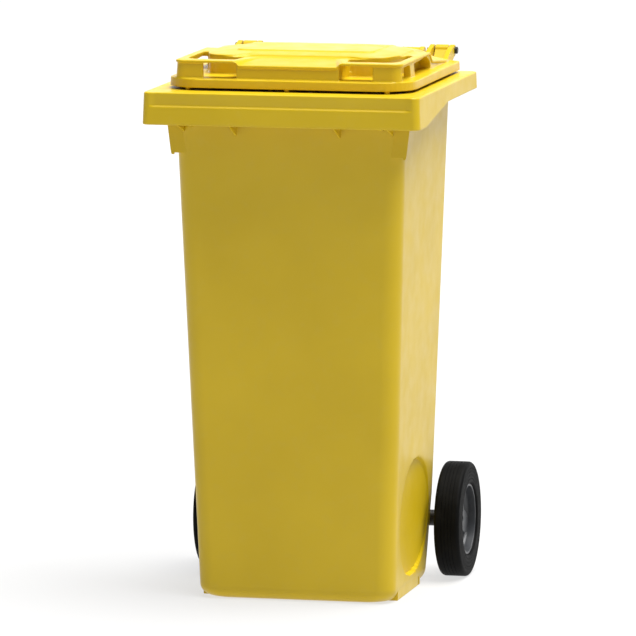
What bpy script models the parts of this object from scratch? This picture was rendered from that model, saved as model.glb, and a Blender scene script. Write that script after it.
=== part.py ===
"""A two-wheeled 120 litre waste bin: tapered body, hinged lid, axle, push-fit wheels.

The frame is metres, +Z up, with its origin on the ground under the middle of the
bin. The rim's front edge faces -Y and the wheels are at +Y. Depths are written as
distances behind the rim's front edge, and back() turns one into a Y coordinate.
"""

import math

import bmesh
import bpy
from mathutils import Matrix, Vector

# Overall size
DEPTH = 0.543
RIM_HALF_WIDTH = 0.240
RIM_TOP = 0.879
WALL = 0.004
GAP = 0.0003

# Body: half width, front and rear wall each follow a straight taper with height
BASE_HALF_WIDTH = 0.171
SIDE_TAPER = 0.0335
BASE_FRONT = 0.110
FRONT_TAPER = -0.0625
BASE_REAR = 0.430
REAR_TAPER = 0.033
BODY_CORNER = 0.030
FOOT_HEIGHT = 0.022
FOOT_SPAN = (0.155, 0.335)
FOOT_NOTCH = (0.319, 0.325)
POCKET_DEPTH = 0.014
POCKET_RISE = 0.0125

# Rim: a flat flange with a hanging skirt, deep in front and shallow behind
RIM_DEPTH = 0.490
RIM_CORNER_FRONT = 0.0125
RIM_CORNER_REAR = 0.009
RIM_DRAFT = 0.002
SKIRT_BOTTOM = RIM_TOP - 0.055
SKIRT_BOTTOM_REAR = RIM_TOP - 0.029
SKIRT_SLOPE = (0.063, 0.246)
MOUTH_FRONT = 0.070
MOUTH_REAR = 0.451
STEP_HALF_WIDTH = 0.216
STEP_DEPTH = 0.003
STEP_DROP = 0.0235

# Hinge axis behind the rim, with the handle bars a little below it
HINGE_BACK = 0.512
HINGE_Z = RIM_TOP + 0.033
LUG_RADIUS = 0.0098
PIN_RADIUS = 0.0045
PIN_BORE = 0.0048
PIN_HEAD = 0.0062
OUTER_LUG = (0.185, 0.1935)
INNER_LUG = (0.150, 0.158)
HINGE_POST = (0.160, 0.183)
HANDLE_POSTS = ((0.032, 0.040), (0.132, 0.140))
HANDLE_RADIUS = 0.013
HANDLE_DROP = 0.0085

# Lid
LID_WALL = 0.003
LID_BOTTOM = RIM_TOP + 0.0045
FLANGE_TOP = RIM_TOP + 0.019
PLATE_TOP = RIM_TOP + 0.0505
PLATE_THICKNESS = 0.0043
LIP_DIP = 0.007
SLOPE_START = 0.300
LARGEST_DROP = 0.0265
BUFFER_X = (-0.172, 0.0, 0.172)

# Wheels
AXLE_BACK = 0.443
AXLE_Z = 0.100
AXLE_RADIUS = 0.010
AXLE_HALF_LENGTH = 0.2195
AXLE_BORE = 0.0103
WHEEL_RADIUS = 0.100
WHEEL_INNER = 0.192
WHEEL_OUTER = 0.237
HUB_RADIUS = 0.0617
LOCK_X = 0.200
LOCK_BORE = 0.0033
GROOVE_RADIUS = 0.0082
GROOVE_HALF_WIDTH = 0.0037
SPACER_RADIUS = 0.014
AXLE_SEAT = 0.1612
SIDES = {"right": 1, "left": -1}


def back(distance):
    return distance - DEPTH / 2


def body_half_width(z):
    return BASE_HALF_WIDTH + SIDE_TAPER * z


def body_front(z):
    return BASE_FRONT + FRONT_TAPER * z


def body_rear(z):
    return BASE_REAR + REAR_TAPER * z


# ---------------------------------------------------------------- scene helpers


def clear_scene():
    for obj in list(bpy.data.objects):
        bpy.data.objects.remove(obj, do_unlink=True)


def new_collection(name):
    collection = bpy.data.collections.new(name)
    bpy.context.scene.collection.children.link(collection)
    return collection


def make_material(name, color, roughness, metallic=0.0):
    material = bpy.data.materials.new(name)
    material.use_nodes = True
    shader = material.node_tree.nodes["Principled BSDF"]
    shader.inputs["Base Color"].default_value = (*color, 1.0)
    shader.inputs["Roughness"].default_value = roughness
    shader.inputs["Metallic"].default_value = metallic
    return material


clear_scene()
PARTS = new_collection("wheelie_bin")
HELPERS = new_collection("cutters")
YELLOW = make_material("yellow_plastic", (0.80, 0.56, 0.03), 0.38)
BLACK = make_material("black_plastic", (0.02, 0.02, 0.02), 0.5)
RUBBER = make_material("tyre_rubber", (0.012, 0.012, 0.012), 0.7)
HUB_GREY = make_material("hub_plastic", (0.06, 0.065, 0.07), 0.5)
STEEL = make_material("zinc_steel", (0.6, 0.6, 0.62), 0.3, 1.0)


def finish(name, mesh_builder, material):
    """Makes an object of a bmesh. One with a material is a part, one without is a helper."""
    bmesh.ops.recalc_face_normals(mesh_builder, faces=mesh_builder.faces)
    mesh = bpy.data.meshes.new(name)
    mesh_builder.to_mesh(mesh)
    mesh_builder.free()
    obj = bpy.data.objects.new(name, mesh)
    if material:
        PARTS.objects.link(obj)
        mesh.materials.append(material)
    else:
        HELPERS.objects.link(obj)
        obj.hide_render = True
        obj.display_type = "WIRE"
    return obj


def boolean(target, operation, *operands):
    for operand in operands:
        modifier = target.modifiers.new(operation.lower() + "_" + operand.name, "BOOLEAN")
        modifier.operation = operation
        modifier.object = operand
        modifier.solver = "EXACT"


def add_cap(mesh_builder, ring, fanned):
    """Closes a ring with one face, or with triangles round a middle point if it isn't flat."""
    if not fanned:
        mesh_builder.faces.new(ring)
        return
    middle = sum((vert.co for vert in ring), Vector()) / len(ring)
    hub = mesh_builder.verts.new(middle)
    for index, vert in enumerate(ring):
        mesh_builder.faces.new((hub, vert, ring[(index + 1) % len(ring)]))


def loft(name, sections, material=None, fanned=False):
    """A closed solid through sections of 3-D points, each with the same number of points."""
    mesh_builder = bmesh.new()
    rings = [[mesh_builder.verts.new(point) for point in section] for section in sections]
    count = len(rings[0])
    sides = []
    for low, high in zip(rings, rings[1:]):
        for index in range(count):
            following = (index + 1) % count
            corners = (low[index], low[following], high[following], high[index])
            sides.append(mesh_builder.faces.new(corners))
    bmesh.ops.connect_verts_nonplanar(mesh_builder, angle_limit=0.0001, faces=sides)
    add_cap(mesh_builder, rings[0], fanned)
    add_cap(mesh_builder, rings[-1], fanned)
    return finish(name, mesh_builder, material)


def prism(name, points, axis, low, high, material=None):
    """A polygon extruded along X (points are y, z), Y (points are x, z) or Z (points are x, y)."""
    place = {
        "X": lambda a, b, along: (along, a, b),
        "Y": lambda a, b, along: (a, along, b),
        "Z": lambda a, b, along: (a, b, along),
    }[axis]
    ends = [[place(a, b, along) for a, b in points] for along in (low, high)]
    return loft(name, ends, material)


def cylinder(name, radius, axis, low, high, centre=(0, 0), steps=32, material=None):
    circle = [
        (
            centre[0] + radius * math.cos(2 * math.pi * step / steps),
            centre[1] + radius * math.sin(2 * math.pi * step / steps),
        )
        for step in range(steps)
    ]
    return prism(name, circle, axis, low, high, material)


def turned(name, profile, steps, material, closed=True):
    """Turns a profile of (radius, height) round local Z. Its outer side runs downwards."""
    mesh_builder = bmesh.new()
    verts = [mesh_builder.verts.new((radius, 0, height)) for radius, height in profile]
    for first, second in zip(verts, verts[1:]):
        mesh_builder.edges.new((first, second))
    if closed:
        mesh_builder.edges.new((verts[-1], verts[0]))
    obj = finish(name, mesh_builder, material)
    screw = obj.modifiers.new("turn", "SCREW")
    screw.steps = steps
    screw.render_steps = steps
    screw.use_merge_vertices = True
    screw.merge_threshold = 0.00005
    screw.use_smooth_shade = True
    return obj


def arc(x, y, radius, start, steps=5):
    angles = [math.radians(start + 90 * step / steps) for step in range(steps + 1)]
    return [(x + radius * math.cos(a), back(y) + radius * math.sin(a)) for a in angles]


def outline(half_width, front, rear, front_radius, rear_radius, set_back=0.0):
    """A rounded rectangle of (x, y), with extra stations along the front and both sides.

    The front's stations lie where the lid's lip dips, and can be set back from its line.
    The sides' stations lie where the lid's top slopes down to the rear.
    """
    front_x, rear_x = half_width - front_radius, half_width - rear_radius
    front_y, rear_y = front + front_radius, rear - rear_radius
    side = [front_y + (rear_y - front_y) * part for part in (0.575, 0.613, 0.651, 0.777, 0.913)]
    points = [(front_x * part, back(front + set_back)) for part in (-0.51, -0.46, 0.46, 0.51)]
    points += arc(front_x, front_y, front_radius, -90)
    points += [(half_width, back(y)) for y in side]
    points += arc(rear_x, rear_y, rear_radius, 0)
    points += arc(-rear_x, rear_y, rear_radius, 90)
    points += [(-half_width, back(y)) for y in reversed(side)]
    points += arc(-front_x, front_y, front_radius, 180)
    return points


def level(points, z):
    return [(x, y, z) for x, y in points]


# ---------------------------------------------------------------- body


def body_section(z, inset=0.0, corner=BODY_CORNER, shrink=0.0):
    """The body's outline at a height, moved in by a wall and by a foot's shrink."""
    move = inset + shrink
    radius = corner - inset
    half_width = body_half_width(z) - move
    return level(outline(half_width, body_front(z) + move, body_rear(z) - move, radius, radius), z)


def body_blank():
    return loft(
        "body",
        [
            body_section(0.0, shrink=0.020, corner=0.040),
            body_section(0.004, shrink=0.010, corner=0.036),
            body_section(0.011, shrink=0.003, corner=0.032),
            body_section(FOOT_HEIGHT),
            body_section(RIM_TOP - WALL / 2),
        ],
        YELLOW,
        fanned=True,
    )


def mouth_section(z):
    half_width = body_half_width(RIM_TOP) - WALL
    return level(outline(half_width, MOUTH_FRONT, MOUTH_REAR, BODY_CORNER, BODY_CORNER), z)


def pocket(name, side, grow):
    """The oval recess beside a wheel, deep in front and shallow at its rear edge."""
    centre_y, centre_z = 0.265, 0.130
    radius_y, radius_z = 0.1145, 0.101
    inner, outer = [], []
    for step in range(40):
        angle = 2 * math.pi * step / 40
        y = centre_y + (radius_y + grow) * math.cos(angle)
        z = centre_z + (radius_z + grow) * math.sin(angle)
        part = (y - centre_y + radius_y) / (2 * radius_y)
        depth_x = body_half_width(z) - POCKET_DEPTH + POCKET_RISE * part - grow
        inner.append((side * depth_x, back(y), z))
        outer.append((side * 0.215, back(y), z))
    return loft(name, [inner, outer])


def cavity():
    """The hollow of the body, open at the top and stepped in round the wheel recesses."""
    hollow = loft(
        "cavity",
        [
            body_section(WALL + 0.001, WALL, shrink=0.010, corner=0.040),
            body_section(0.012, WALL, shrink=0.003, corner=0.036),
            body_section(FOOT_HEIGHT, WALL),
            body_section(RIM_TOP - 0.023, WALL),
            mouth_section(RIM_TOP - 0.011),
            mouth_section(RIM_TOP + 0.02),
        ],
        fanned=True,
    )
    boolean(hollow, "DIFFERENCE", pocket("cavity_pocket_right", 1, WALL))
    boolean(hollow, "DIFFERENCE", pocket("cavity_pocket_left", -1, WALL))
    # Over the cut-away for the axle the floor slopes up, one wall inside it.
    trough = trough_points(WALL + 0.001)
    boolean(hollow, "DIFFERENCE", prism("cavity_trough", trough, "X", -0.22, 0.22))
    return hollow


def trough_points(grow):
    """The side view of the cut-away in the rear of the base that leaves room for the axle."""
    slope = (
        (0.4385, 0.212),
        (0.418, 0.178),
        (0.404, 0.140),
        (0.396, 0.100),
        (0.388, 0.060),
        (0.378, 0.025),
        (0.368, -0.012),
    )
    points = [(0.60, 0.212 + grow)] + [(y - grow, z + grow) for y, z in slope]
    return shifted(points + [(0.60, -0.012 + grow)])


def shifted(points):
    return [(back(y), z) for y, z in points]


def rim_section(z, inset=0.0):
    draft = RIM_DRAFT * (z - SKIRT_BOTTOM) / (RIM_TOP - SKIRT_BOTTOM)
    move = inset + draft
    radii = RIM_CORNER_FRONT - inset, RIM_CORNER_REAR - inset
    return level(outline(RIM_HALF_WIDTH - move, move, RIM_DEPTH - move, *radii), z)


def rim():
    cap = loft("rim_cap", [rim_section(SKIRT_BOTTOM), rim_section(RIM_TOP)], fanned=True)
    hollow_ends = [rim_section(SKIRT_BOTTOM - 0.03, WALL), rim_section(RIM_TOP - WALL, WALL)]
    hollow = loft("rim_hollow", hollow_ends, fanned=True)
    slope_start, slope_end = SKIRT_SLOPE
    low, high = SKIRT_BOTTOM - 0.03, SKIRT_BOTTOM_REAR
    trim = (
        (slope_start, SKIRT_BOTTOM - 0.0005),
        (slope_start, low),
        (0.60, low),
        (0.60, high),
        (slope_end, high),
    )
    boolean(cap, "DIFFERENCE", hollow, prism("skirt_trim", shifted(trim), "X", -0.3, 0.3))
    return cap


def step_cutter():
    """Sets the upper band of the front skirt back, with slanted ends and a sloped lower edge."""
    top, bottom = RIM_TOP + 0.01, RIM_TOP - STEP_DROP
    wide, narrow = STEP_HALF_WIDTH, STEP_HALF_WIDTH - 0.014
    levels = ((bottom - 0.001, 0.0), (bottom + 0.0025, STEP_DEPTH), (top, STEP_DEPTH + 0.0014))
    sections = []
    for z, depth in levels:
        sections.append(
            [
                (-wide, back(-0.01), z),
                (wide, back(-0.01), z),
                (wide, back(0.0005), z),
                (narrow, back(depth + 0.0011), z),
                (-narrow, back(depth + 0.0011), z),
                (-wide, back(0.0005), z),
            ]
        )
    return loft("step_cutter", sections)


def corner_comb(name, side):
    """The wing beside the front corner, under the rim, with a small nib at its foot."""
    shape = (
        (0.152, -0.108),
        (0.1985, -0.108),
        (0.1985, -0.111),
        (0.203, -0.111),
        (0.2045, -0.104),
        (0.210, -0.060),
        (0.214, -0.0025),
        (0.152, -0.0025),
    )
    points = [(side * x, RIM_TOP + z) for x, z in shape]
    return prism(name, points, "Y", back(0.0635), back(0.0680))


def gusset(name, x, tip):
    """A thin web between the skirt and the front wall. Its tip is a distance below the rim."""
    top, lowest = -0.002, -tip - 0.006
    shape = ((0.003, -0.0535), (0.003, top), (0.070, top), (0.070, lowest), (0.056, -tip))
    points = shifted([(y, RIM_TOP + z) for y, z in shape])
    return prism(name, points, "X", x - 0.001, x + 0.001)


def post(name, low, high, ring_radius, drop=0.0):
    """A bracket from the rim's rear edge up to a ring on the hinge axis, or below it."""
    centre = (back(HINGE_BACK), HINGE_Z - drop)
    neck = (
        (-0.85 * ring_radius, 0.3 * ring_radius),
        (-0.030, -0.020),
        (-0.030, -0.050),
        (-0.024, -0.046),
        (0.45 * ring_radius, -0.83 * ring_radius),
    )
    points = [(centre[0] + y, centre[1] + z) for y, z in neck]
    bracket = prism(name, points, "X", low, high)
    boolean(bracket, "UNION", cylinder(name + "_ring", ring_radius, "X", low, high, centre))
    return bracket


def axle_lug(name, low, high):
    centre_y, centre_z, radius = AXLE_BACK, AXLE_Z, 0.021
    root = 0.390
    points = [(root, centre_z - radius), (root, centre_z + radius)]
    for step in range(13):
        angle = math.radians(90 - 180 * step / 12)
        points.append((centre_y + radius * math.cos(angle), centre_z + radius * math.sin(angle)))
    return prism(name, shifted(points), "X", low, high)


def foot(name, side):
    """A block under the side's lower edge that the bin stands on, notched near its rear."""
    inner = 0.153
    outer, outer_top = BASE_HALF_WIDTH - 0.0004, body_half_width(FOOT_HEIGHT) - 0.0004
    shape = ((inner, 0.0), (outer, 0.0), (outer_top, FOOT_HEIGHT + 0.001), (inner, FOOT_HEIGHT + 0.001))
    points = [(side * x, z) for x, z in shape]
    block = prism(name, points, "Y", back(FOOT_SPAN[0]), back(FOOT_SPAN[1]))
    cut = [(side * 0.160, -0.01), (side * 0.19, -0.01), (side * 0.19, 0.017), (side * 0.160, 0.017)]
    notch = prism(name + "_notch", cut, "Y", back(FOOT_NOTCH[0]), back(FOOT_NOTCH[1]))
    boolean(block, "DIFFERENCE", notch)
    return block


def both(side, low, high):
    """A span of distances out from the middle, as the X range on one side."""
    return sorted((side * low, side * high))


def make_body():
    body = body_blank()
    boolean(body, "UNION", rim())
    for name, side in SIDES.items():
        boolean(body, "UNION", corner_comb("comb_" + name, side), foot("foot_" + name, side))
        for index, (x, tip) in enumerate(((0.090, 0.0745), (0.166, 0.062), (0.181, 0.068))):
            boolean(body, "UNION", gusset(f"gusset_{name}_{index}", side * x, tip))
    boolean(body, "DIFFERENCE", step_cutter(), cavity())

    # The rear of the base is cut away for the axle, with plates and lugs left to carry it.
    boolean(body, "DIFFERENCE", prism("axle_trough", trough_points(0.0), "X", -0.3, 0.3))
    cheek = shifted(
        ((0.4055, 0.152), (0.3835, 0.054), (0.450, 0.060), (0.460, 0.070), (0.460, 0.130), (0.440, 0.152))
    )
    axle_centre = (back(AXLE_BACK), AXLE_Z)
    handle_centre = (back(HINGE_BACK), HINGE_Z - HANDLE_DROP)
    for name, side in SIDES.items():
        boolean(body, "DIFFERENCE", pocket("pocket_" + name, side, 0.0))
        boolean(body, "UNION", prism("cheek_" + name, cheek, "X", *both(side, 0.1455, 0.158)))
        seat_span = both(side, 0.150, AXLE_SEAT)
        boolean(body, "UNION", cylinder("axle_seat_" + name, 0.017, "X", *seat_span, axle_centre))
        boolean(body, "UNION", axle_lug("axle_lug_" + name, *both(side, 0.046, 0.054)))

        # Handles and hinge posts.
        hinge_post = post("hinge_post_" + name, *both(side, *HINGE_POST), LUG_RADIUS)
        boolean(body, "UNION", hinge_post)
        for index, span in enumerate(HANDLE_POSTS):
            ring = HANDLE_RADIUS + 0.001
            bracket = post(f"handle_post_{name}_{index}", *both(side, *span), ring, HANDLE_DROP)
            boolean(body, "UNION", bracket)
        ends = both(side, HANDLE_POSTS[0][0] + 0.002, HANDLE_POSTS[1][1] - 0.002)
        bar = cylinder("handle_bar_" + name, HANDLE_RADIUS, "X", *ends, handle_centre)
        boolean(body, "UNION", bar)
    boolean(body, "DIFFERENCE", cylinder("axle_bore", AXLE_BORE, "X", -0.19, 0.19, axle_centre, 48))
    for name, side in SIDES.items():
        centre = (back(HINGE_BACK), HINGE_Z)
        bore = cylinder("pin_bore_" + name, PIN_BORE, "X", *both(side, 0.145, 0.2), centre)
        boolean(body, "DIFFERENCE", bore)
    return body


# ---------------------------------------------------------------- lid


def smooth(value):
    value = min(max(value, 0.0), 1.0)
    return value * value * (3 - 2 * value)


def lid_height(x, y, z):
    """Slopes the lid's top down to the rear and dips its front lip between the grips."""
    depth = y + DEPTH / 2
    dip = LIP_DIP * smooth((0.0905 - abs(x)) / 0.008) * min(1, max(0, (0.145 - depth) / 0.085))
    drop = min(LARGEST_DROP, 0.0215 * max(0, (depth - SLOPE_START) / 0.130) ** 2)

    # The shoulders beside the dome drop sooner than its middle does.
    run = min(1, max(0, (depth - 0.312) / 0.128))
    shoulder = 0.0155 * smooth((depth - 0.288) / 0.024) + (LARGEST_DROP - 0.0155) * run
    drop += max(0, shoulder - drop) * smooth((abs(x) - 0.160) / 0.025)
    return z - drop - dip


def lid_section(outline_values, z, shaped=True, inset=0.0, lower=0.0):
    half_width, front, rear, front_radius, rear_radius, *set_back = outline_values
    points = outline(
        half_width - inset,
        front + inset,
        rear - inset,
        max(front_radius - inset, 0.004),
        max(rear_radius - inset, 0.004),
        *set_back,
    )
    if not shaped:
        return level(points, z - lower)
    return [(x, y, lid_height(x, y, z) - lower) for x, y in points]


# Half width, front, rear, front corner, rear corner and, for the dome, its middle's set-back
FLANGE = (0.2135, 0.047, 0.476, 0.060, 0.020)
WALL_FOOT = (0.199, 0.0555, 0.464, 0.020, 0.020)
PLATE = (0.197, 0.057, 0.462, 0.018, 0.020)
DOME = (0.1675, 0.1305, 0.448, 0.034, 0.030, 0.0145)
PANEL = (0.121, 0.188, 0.430, 0.016, 0.016)
CREST = (0.060, 0.250, 0.380, 0.010, 0.010)


def lid_solid(name, inset, lower, material=None):
    """The lid's outer skin, or with an inset the hollow under it."""
    bottom = LID_BOTTOM if not inset else LID_BOTTOM - 0.02
    return loft(
        name,
        [
            lid_section(FLANGE, bottom, False, inset),
            lid_section(FLANGE, FLANGE_TOP, False, inset + 0.0008, lower),
            lid_section(WALL_FOOT, FLANGE_TOP + 0.001, False, inset, lower),
            lid_section(PLATE, PLATE_TOP - 0.001, True, inset, lower),
            lid_section(PLATE, PLATE_TOP, True, inset + 0.001, lower),
            lid_section(DOME, PLATE_TOP + 0.0004, True, inset, lower),
            lid_section(DOME, PLATE_TOP + 0.0032, True, inset + 0.001, lower),
            lid_section(PANEL, PLATE_TOP + 0.0062, True, inset, lower),
            lid_section(PANEL, PLATE_TOP + 0.0082, True, inset + 0.0015, lower),
            lid_section(CREST, PLATE_TOP + 0.0088, True, 0.0, lower),
        ],
        material,
        fanned=True,
    )


# The dome's corner, from the front grip round to the side, as (distance out, back)
DOME_CORNER = ((0.120, 0.130), (0.145, 0.136), (0.156, 0.146), (0.162, 0.165), (0.166, 0.183))
GRIP_REAR = 0.214
GRIP_INNER = 0.0885
PILLAR_INNER = 0.147
PILLAR_REAR = 0.070
POST_INNER = 0.184
SIDE_OPENINGS = (
    (0.165, ((0.0705, 0.0013), (0.135, 0.0013), (0.135, 0.0235), (0.0705, 0.0235))),
    (
        0.1757,
        (
            (0.167, 0.0013),
            (0.296, 0.0013),
            (0.296, 0.014),
            (0.280, 0.023),
            (0.258, 0.0262),
            (0.225, 0.0237),
            (0.167, 0.0225),
        ),
    ),
)


def placed(side, points):
    return [(side * x, back(y)) for x, y in points]


def grip_prism(name, points):
    top = PLATE_TOP - PLATE_THICKNESS
    return prism(name, points, "Z", FLANGE_TOP + 0.0015, top)


def grips(side):
    """The recess under the plate round each front corner, and its openings in the side wall."""
    corner = ((GRIP_INNER, 0.040), (GRIP_INNER, 0.130), *DOME_CORNER, (0.171, GRIP_REAR))
    outer = ((POST_INNER, GRIP_REAR), (POST_INNER, PILLAR_REAR), (PILLAR_INNER, PILLAR_REAR))
    recess = placed(side, (*corner, *outer, (PILLAR_INNER, 0.040)))
    yield grip_prism(f"grip_{side}", recess)
    for index, (inner, shape) in enumerate(SIDE_OPENINGS):
        points = [(back(y), FLANGE_TOP + z) for y, z in shape]
        yield prism(f"grip_side_{side}_{index}", points, "X", *both(side, inner, 0.215))


def grip_block(side):
    """Keeps the hollow one wall away from the grips. The corner pillars stay solid."""
    grow = LID_WALL
    inner = [(x - grow, y + grow) for x, y in DOME_CORNER]
    start = (GRIP_INNER - grow, 0.035), (GRIP_INNER - grow, 0.130 + grow)
    rear = (0.1727, 0.232), (0.1727, 0.296 + grow), (0.225, 0.296 + grow)
    points = placed(side, (*start, *inner, *rear, (0.225, 0.035)))
    low, high = FLANGE_TOP + 0.0013 - grow, PLATE_TOP + 0.01
    return prism(f"grip_block_{side}", points, "Z", low, high)


def slot(side):
    """The L-shaped slot through the plate, behind its front bar and beside its side bar."""
    outer = ((0.097, 0.0845), (0.165, 0.0845), (0.178, 0.092), (0.1835, 0.105), (0.1835, 0.2135))
    inner = [(x + 0.0004, y - 0.0006) for x, y in reversed(DOME_CORNER)]
    points = placed(side, (*outer, (0.1715, 0.2135), *inner, (GRIP_INNER + 0.0005, 0.1294)))
    return prism(f"slot_{side}", points, "Z", FLANGE_TOP + 0.01, PLATE_TOP + 0.02)


def lug(name, low, high):
    """An arm from the lid's rear wall to a ring on the hinge axis."""
    arm = (
        (0.0, LUG_RADIUS),
        (-0.030, 0.004),
        (-0.050, -0.004),
        (-0.066, -0.0115),
        (-0.066, -0.0215),
        (-0.036, -0.0215),
        (0.0, -LUG_RADIUS),
    )
    centre = (back(HINGE_BACK), HINGE_Z)
    points = [(centre[0] + y, centre[1] + z) for y, z in arm]
    bracket = prism(name, points, "X", low, high)
    boolean(bracket, "UNION", cylinder(name + "_ring", LUG_RADIUS, "X", low, high, centre))
    return bracket


def buffer_back(x):
    """How far back a buffer sits, just inside the flange's rounded outline."""
    half_width, front, _, radius, _ = FLANGE
    run = max(0.0, abs(x) - (half_width - radius))
    return front + radius - math.sqrt(radius * radius - run * run) + 0.0078


def make_lid():
    lid = lid_solid("lid", 0.0, 0.0, YELLOW)
    hollow = lid_solid("lid_hollow", LID_WALL, LID_WALL)
    for side in SIDES.values():
        boolean(lid, "DIFFERENCE", *grips(side), slot(side))
        boolean(hollow, "DIFFERENCE", grip_block(side))
        for index, span in enumerate((OUTER_LUG, INNER_LUG)):
            boolean(lid, "UNION", lug(f"lug_{side}_{index}", *both(side, *span)))
    boolean(lid, "DIFFERENCE", hollow)
    for index, x in enumerate(BUFFER_X):
        centre = (x, back(buffer_back(x)))
        low, high = LID_BOTTOM + 0.0004, FLANGE_TOP - 0.001
        boss = cylinder(f"buffer_boss_{index}", 0.0055, "Z", low, high, centre, 16)
        boolean(lid, "UNION", boss)
        low, high = LID_BOTTOM - 0.01, LID_BOTTOM + 0.0105
        bore = cylinder(f"buffer_bore_{index}", 0.0023, "Z", low, high, centre, 16)
        boolean(lid, "DIFFERENCE", bore)
    centre = (back(HINGE_BACK), HINGE_Z)
    for name, side in SIDES.items():
        bore = cylinder("lug_bore_" + name, PIN_BORE, "X", *both(side, 0.14, 0.2), centre)
        boolean(lid, "DIFFERENCE", bore)

    # The lid's origin moves to its hinge axis.
    pivot = Vector((0, *centre))
    lid.data.transform(Matrix.Translation(-pivot))
    lid.location = pivot
    return lid


def make_buffers():
    head_top = LID_BOTTOM - GAP
    head_bottom = RIM_TOP + GAP
    for name, x in zip(("left", "centre", "right"), BUFFER_X):
        profile = (
            (0.0, LID_BOTTOM + 0.009),
            (0.0015, LID_BOTTOM + 0.009),
            (0.0020, LID_BOTTOM + 0.007),
            (0.0020, head_top),
            (0.0048, head_top),
            (0.0048, head_bottom + 0.001),
            (0.0036, head_bottom),
            (0.0, head_bottom),
        )
        stud = turned("lid_buffer_" + name, profile, 16, YELLOW, closed=False)
        stud.location = (x, back(buffer_back(x)), 0)


def make_hinge_pins():
    """Push-in pins with a head outside and a split, barbed tip inside."""
    head, lug_outer, lug_inner = 0.1985, OUTER_LUG[1] + GAP, INNER_LUG[0] - GAP
    profile = (
        (0.0, head),
        (PIN_HEAD - 0.001, head),
        (PIN_HEAD, head - 0.001),
        (PIN_HEAD, lug_outer),
        (PIN_RADIUS, lug_outer),
        (PIN_RADIUS, lug_inner),
        (PIN_RADIUS + 0.0008, lug_inner - 0.0008),
        (PIN_RADIUS - 0.0007, 0.1445),
        (0.0, 0.1445),
    )
    for name, side in SIDES.items():
        pin = turned("hinge_pin_" + name, profile, 24, BLACK, closed=False)
        pin.location = (0, back(HINGE_BACK), HINGE_Z)
        pin.rotation_euler = (0, side * math.pi / 2, 0)
        y, low, high = back(HINGE_BACK), HINGE_Z - 0.01, HINGE_Z + 0.01
        split = ((y - 0.0009, low), (y + 0.0009, low), (y + 0.0009, high), (y - 0.0009, high))
        cutter = prism("pin_split_" + name, split, "X", *both(side, 0.140, 0.1535))
        boolean(pin, "DIFFERENCE", cutter)


# ---------------------------------------------------------------- axle and wheels


def make_axle():
    end, chamfer = AXLE_HALF_LENGTH, 0.0015
    half = [(0.0, end), (AXLE_RADIUS - chamfer, end), (AXLE_RADIUS, end - chamfer)]
    half += [
        (AXLE_RADIUS, LOCK_X + GROOVE_HALF_WIDTH),
        (GROOVE_RADIUS, LOCK_X + GROOVE_HALF_WIDTH),
        (GROOVE_RADIUS, LOCK_X - GROOVE_HALF_WIDTH),
        (AXLE_RADIUS, LOCK_X - GROOVE_HALF_WIDTH),
    ]
    profile = half + [(radius, -height) for radius, height in reversed(half)]
    axle = turned("axle", profile, 48, STEEL, closed=False)
    axle.location = (0, back(AXLE_BACK), AXLE_Z)
    axle.rotation_euler = (0, math.pi / 2, 0)


def on_axle(obj, side):
    """Puts a turned piece on the axle. Its heights become distances out from the middle."""
    obj.location = (0, back(AXLE_BACK), AXLE_Z)
    obj.rotation_euler = (0, side * math.pi / 2, 0)


def make_tyre(name, side):
    bevel = 0.006
    seat = HUB_RADIUS + GAP
    profile = (
        (WHEEL_RADIUS - bevel, WHEEL_OUTER),
        (WHEEL_RADIUS, WHEEL_OUTER - bevel),
        (WHEEL_RADIUS, WHEEL_INNER + bevel),
        (WHEEL_RADIUS - bevel, WHEEL_INNER),
        (seat + 0.006, WHEEL_INNER),
        (seat, WHEEL_INNER + 0.004),
        (seat, WHEEL_OUTER - 0.004),
        (seat + 0.006, WHEEL_OUTER),
    )
    on_axle(turned("tyre_" + name, profile, 64, RUBBER), side)


def make_hub(name, side):
    rim_inner, rim_outer = WHEEL_INNER + 0.003, WHEEL_OUTER - 0.003
    barrel = HUB_RADIUS - 0.004
    web_inner, web_outer = 0.208, 0.213
    boss, cap = 0.0175, 0.224
    profile = (
        (HUB_RADIUS, rim_outer),
        (HUB_RADIUS, rim_inner),
        (barrel, rim_inner),
        (barrel, web_inner),
        (boss, web_inner),
        (boss, WHEEL_INNER + 0.0005),
        (AXLE_BORE, WHEEL_INNER + 0.0005),
        (AXLE_BORE, cap - 0.004),
        (0.0045, cap - 0.004),
        (0.0045, cap),
        (boss, cap),
        (boss, web_outer),
        (barrel, web_outer),
        (barrel, rim_outer),
    )
    hub = turned("wheel_hub_" + name, profile, 48, HUB_GREY)
    on_axle(hub, side)

    # A radial tower on the inside holds the lock pin, its spring and its plug.
    centre = (side * LOCK_X, back(AXLE_BACK))
    tower = cylinder("lock_tower_" + name, 0.0058, "Z", AXLE_Z + 0.0165, AXLE_Z + 0.050, centre, 24)
    boolean(hub, "UNION", tower)
    bore = cylinder("lock_bore_" + name, LOCK_BORE, "Z", AXLE_Z + 0.005, AXLE_Z + 0.055, centre, 16)
    boolean(hub, "DIFFERENCE", bore)

    # A raised three-lobed plate stiffens the web on the outside.
    lobes, hole = [], []
    for step in range(48):
        angle = 2 * math.pi * (step + 0.5) / 48
        radius = 0.037 + 0.015 * math.cos(3 * (angle - math.radians(100)))
        lobes.append((back(AXLE_BACK) + radius * math.cos(angle), AXLE_Z + radius * math.sin(angle)))
        hole.append((back(AXLE_BACK) + 0.016 * math.cos(angle), AXLE_Z + 0.016 * math.sin(angle)))
    low, high = sorted((side * (web_outer - 0.001), side * 0.219))
    plate = prism("lobes_" + name, lobes, "X", low, high)
    boolean(plate, "DIFFERENCE", prism("lobe_hole_" + name, hole, "X", low - 0.01, high + 0.01))
    boolean(hub, "UNION", plate)


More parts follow.
